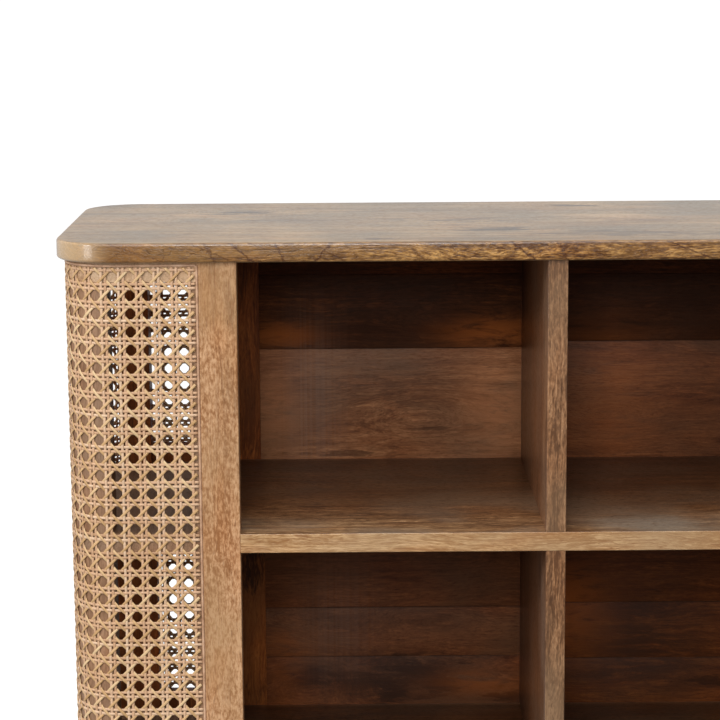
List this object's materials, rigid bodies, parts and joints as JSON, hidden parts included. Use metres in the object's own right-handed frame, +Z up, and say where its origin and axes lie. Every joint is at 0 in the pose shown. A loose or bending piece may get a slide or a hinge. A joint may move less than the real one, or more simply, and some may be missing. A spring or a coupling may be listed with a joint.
{
  "type": "shoe cabinet",
  "caption": "Open shoe cabinet with a grid of slots, a round-cornered wooden top, and cane webbing wrapped round both hollow ends.",
  "frame": {"origin": "on the floor under the middle of the cabinet's width and depth", "axes": "+Z up, +X to the cabinet's right seen from the front, the open front faces -Y"},
  "size_m": [1.008, 0.365, 1.03],
  "materials": {
    "wood_top": "satin clear-lacquered solid hardwood, edge-glued staves along the width",
    "wood_edges": "satin clear-lacquered solid hardwood, vertical grain",
    "wood_inside": "satin stained and lacquered solid hardwood",
    "wood_back": "satin stained solid hardwood boards with knots",
    "wood_frame": "plain hardwood, matt",
    "wood_legs": "satin clear-lacquered turned hardwood",
    "dowel_wood": "plain beech, matt",
    "cane": "natural woven cane with a low gloss",
    "spline": "natural reed spline, matt",
    "plate_steel": "black powder coat",
    "fastener_steel": "zinc plated",
    "glide_plastic": "moulded nylon"
  },
  "bodies": {
    "root": {"back_nails": "fastener_steel", "back_panel_1_left": "wood_back", "back_panel_1_right": "wood_back", "back_panel_2_left": "wood_back", "back_panel_2_right": "wood_back", "back_panel_3_left": "wood_back", "back_panel_3_right": "wood_back", "base_board": "wood_top", "cane_batten_front_left": "wood_frame", "cane_batten_front_right": "wood_frame", "cane_batten_rear_left": "wood_frame", "cane_batten_rear_right": "wood_frame", "cane_panel_left": "cane", "cane_panel_right": "cane", "cane_spline_left": "spline", "cane_spline_right": "spline", "divider_1": "wood_inside", "divider_2": "wood_inside", "divider_3": "wood_inside", "divider_dowels": "dowel_wood", "end_board_base_left": "wood_frame", "end_board_base_right": "wood_frame", "end_board_shelf_1_left": "wood_frame", "end_board_shelf_1_right": "wood_frame", "end_board_shelf_2_left": "wood_frame", "end_board_shelf_2_right": "wood_frame", "end_board_top_left": "wood_frame", "end_board_top_right": "wood_frame", "end_dowels": "dowel_wood", "end_screws": "fastener_steel", "front_post_left": "wood_frame", "front_post_right": "wood_frame", "front_stile_left": "wood_edges", "front_stile_right": "wood_edges", "glides": "glide_plastic", "hanger_bolts": "fastener_steel", "leg_front_left": "wood_legs", "leg_front_right": "wood_legs", "leg_plates": "plate_steel", "leg_rear_left": "wood_legs", "leg_rear_right": "wood_legs", "panel_dowels": "dowel_wood", "plate_screws": "fastener_steel", "post_dowels": "dowel_wood", "rear_post_left": "wood_frame", "rear_post_right": "wood_frame", "rear_stile_1_left": "wood_back", "rear_stile_1_right": "wood_back", "rear_stile_2_left": "wood_back", "rear_stile_2_right": "wood_back", "rear_stile_3_left": "wood_back", "rear_stile_3_right": "wood_back", "shelf_1": "wood_inside", "shelf_2": "wood_inside", "shelf_dowels": "dowel_wood", "side_panel_left": "wood_inside", "side_panel_right": "wood_inside", "stile_dowels": "dowel_wood", "top_board": "wood_top"}
  },
  "joints": []
}
